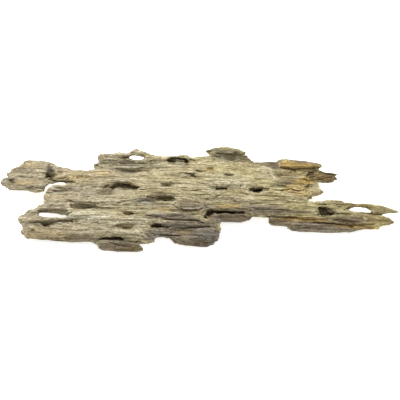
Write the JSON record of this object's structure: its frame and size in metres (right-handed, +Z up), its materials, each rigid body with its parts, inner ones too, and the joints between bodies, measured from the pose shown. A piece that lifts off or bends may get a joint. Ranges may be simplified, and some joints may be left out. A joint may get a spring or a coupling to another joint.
{
  "type": "honeycomb driftwood slab",
  "caption": "Flat weathered driftwood slab, ridged along its grain and eaten open in lens-shaped gaps and hollows, with ragged split ends.",
  "frame": {"origin": "centre of the bounding box at its base, on the plane the slab rests on", "axes": "+X along the grain, towards the slab's long right-hand point; +Z up, away from the resting plane"},
  "size_m": [0.3984, 0.1268, 0.0291],
  "materials": {
    "weathered_wood": "dry, dull, unfinished driftwood: tan with grey, ochre and dark brown zones along the grain"
  },
  "bodies": {
    "root": {"honeycomb_wood": "weathered_wood"}
  },
  "joints": []
}
